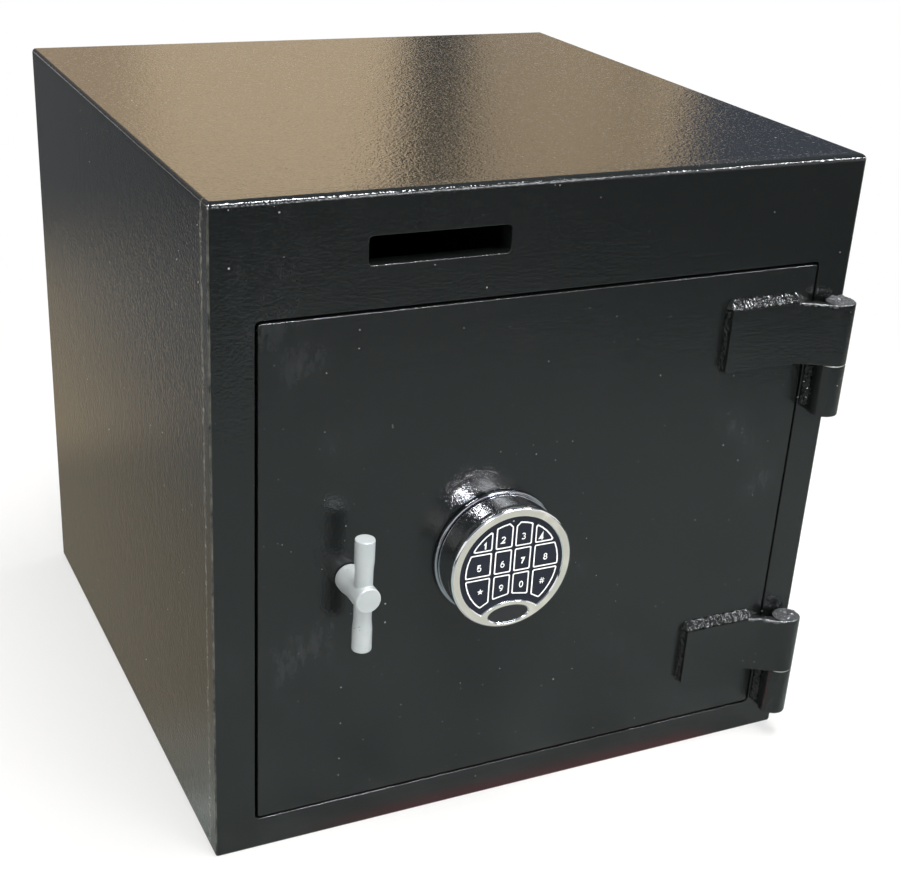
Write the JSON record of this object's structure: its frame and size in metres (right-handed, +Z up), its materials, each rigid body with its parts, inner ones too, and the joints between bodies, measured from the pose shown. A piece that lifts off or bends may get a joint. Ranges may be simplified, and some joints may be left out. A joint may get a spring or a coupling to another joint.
{
  "type": "drop safe",
  "caption": "Black painted steel drop safe: deposit slot in the band above a side-hinged door with strap hinges, a round keypad lock and a silver T-handle that throws round locking bolts.",
  "frame": {"origin": "centre of the underside of the welded box", "axes": "+X to the right as seen from the front, +Y to the back, +Z up; the door faces -Y"},
  "size_m": [0.457, 0.4882, 0.453],
  "materials": {
    "black_paint": "semi-gloss orange peel",
    "silver_paint": "satin",
    "nickel": "polished side, satin bezel",
    "dark_chrome": "polished",
    "bare_steel": "machined",
    "zinc_plate": "zinc plated",
    "brass": "machined",
    "rubber": "matt, printed digits",
    "cable_jacket": "matt",
    "battery_wrap": "plain wrap"
  },
  "bodies": {
    "box": {"front_plate": "black_paint", "top_plate": "black_paint", "bottom_plate": "black_paint", "left_side": "black_paint", "right_side": "black_paint", "back_plate": "black_paint", "top_door_stop": "black_paint", "bottom_door_stop": "black_paint", "bolt_keeper": "black_paint", "deposit_chute": "black_paint", "anti_fish_baffle": "black_paint", "upper_hinge_knuckle": "black_paint", "upper_hinge_pin": "bare_steel", "upper_hinge_washer": "zinc_plate", "lower_hinge_knuckle": "black_paint", "lower_hinge_pin": "bare_steel", "lower_hinge_washer": "zinc_plate"},
    "door": {"door_plate": "black_paint", "upper_hinge_leaf": "black_paint", "lower_hinge_leaf": "black_paint", "dead_bar": "black_paint", "bolt_guide": "black_paint", "upper_guide_screw": "zinc_plate", "lower_guide_screw": "zinc_plate", "spindle_bush": "brass", "hard_plate": "bare_steel", "lock_case": "zinc_plate", "lock_cover": "zinc_plate", "lock_screw_1": "zinc_plate", "lock_screw_2": "zinc_plate", "lock_screw_3": "zinc_plate", "keypad_cable": "cable_jacket", "keypad_base": "dark_chrome", "keypad_housing": "nickel", "keypad_face": "rubber", "battery": "battery_wrap"},
    "boltwork": {"bolt_carriage": "zinc_plate", "upper_bolt": "bare_steel", "middle_bolt": "bare_steel", "lower_bolt": "bare_steel", "upper_bolt_nut": "zinc_plate", "middle_bolt_nut": "zinc_plate", "lower_bolt_nut": "zinc_plate"},
    "turn_handle": {"handle": "silver_paint", "handle_spindle": "bare_steel", "crank": "zinc_plate", "spindle_nut": "zinc_plate"},
    "swing_bolt": {"lock_bolt": "brass"},
    "button_1": {"key_1": "rubber"},
    "button_2": {"key_2": "rubber"},
    "button_3": {"key_3": "rubber"},
    "button_4": {"key_4": "rubber"},
    "button_5": {"key_5": "rubber"},
    "button_6": {"key_6": "rubber"},
    "button_7": {"key_7": "rubber"},
    "button_8": {"key_8": "rubber"},
    "button_9": {"key_9": "rubber"},
    "button_0": {"key_0": "rubber"},
    "button_star": {"key_star": "rubber"},
    "button_hash": {"key_hash": "rubber"}
  },
  "joints": [
    {"name": "door_swing", "type": "hinge", "parent": "box", "child": "door", "pos_m": [0.218, -0.2378, 0.2], "axis": [0, 0, 1], "range_deg": [0, 180]},
    {"name": "handle_turn", "type": "hinge", "parent": "door", "child": "turn_handle", "pos_m": [-0.1375, -0.2273, 0.201], "axis": [0, -1, 0], "range_deg": [0, 70]},
    {"name": "bolt_throw", "type": "slide", "parent": "door", "child": "boltwork", "axis": [-1, 0, 0], "range_m": [0, 0.018]},
    {"name": "lock_swing", "type": "hinge", "parent": "door", "child": "swing_bolt", "pos_m": [-0.0917, -0.2, 0.183], "axis": [0, -1, 0], "range_deg": [0, 32]},
    {"name": "press_1", "type": "slide", "parent": "door", "child": "button_1", "axis": [0, 1, 0], "range_m": [0, 0.001], "stiffness_N_per_m": 1500},
    {"name": "press_2", "type": "slide", "parent": "door", "child": "button_2", "axis": [0, 1, 0], "range_m": [0, 0.001], "stiffness_N_per_m": 1500},
    {"name": "press_3", "type": "slide", "parent": "door", "child": "button_3", "axis": [0, 1, 0], "range_m": [0, 0.001], "stiffness_N_per_m": 1500},
    {"name": "press_4", "type": "slide", "parent": "door", "child": "button_4", "axis": [0, 1, 0], "range_m": [0, 0.001], "stiffness_N_per_m": 1500},
    {"name": "press_5", "type": "slide", "parent": "door", "child": "button_5", "axis": [0, 1, 0], "range_m": [0, 0.001], "stiffness_N_per_m": 1500},
    {"name": "press_6", "type": "slide", "parent": "door", "child": "button_6", "axis": [0, 1, 0], "range_m": [0, 0.001], "stiffness_N_per_m": 1500},
    {"name": "press_7", "type": "slide", "parent": "door", "child": "button_7", "axis": [0, 1, 0], "range_m": [0, 0.001], "stiffness_N_per_m": 1500},
    {"name": "press_8", "type": "slide", "parent": "door", "child": "button_8", "axis": [0, 1, 0], "range_m": [0, 0.001], "stiffness_N_per_m": 1500},
    {"name": "press_9", "type": "slide", "parent": "door", "child": "button_9", "axis": [0, 1, 0], "range_m": [0, 0.001], "stiffness_N_per_m": 1500},
    {"name": "press_0", "type": "slide", "parent": "door", "child": "button_0", "axis": [0, 1, 0], "range_m": [0, 0.001], "stiffness_N_per_m": 1500},
    {"name": "press_star", "type": "slide", "parent": "door", "child": "button_star", "axis": [0, 1, 0], "range_m": [0, 0.001], "stiffness_N_per_m": 1500},
    {"name": "press_hash", "type": "slide", "parent": "door", "child": "button_hash", "axis": [0, 1, 0], "range_m": [0, 0.001], "stiffness_N_per_m": 1500}
  ],
  "couplings": [
    {"joint": "bolt_throw", "follows": "handle_turn", "m_per_rad": 0.014733},
    {"joint": "lock_swing", "follows": "handle_turn", "ratio": 0.45714}
  ]
}
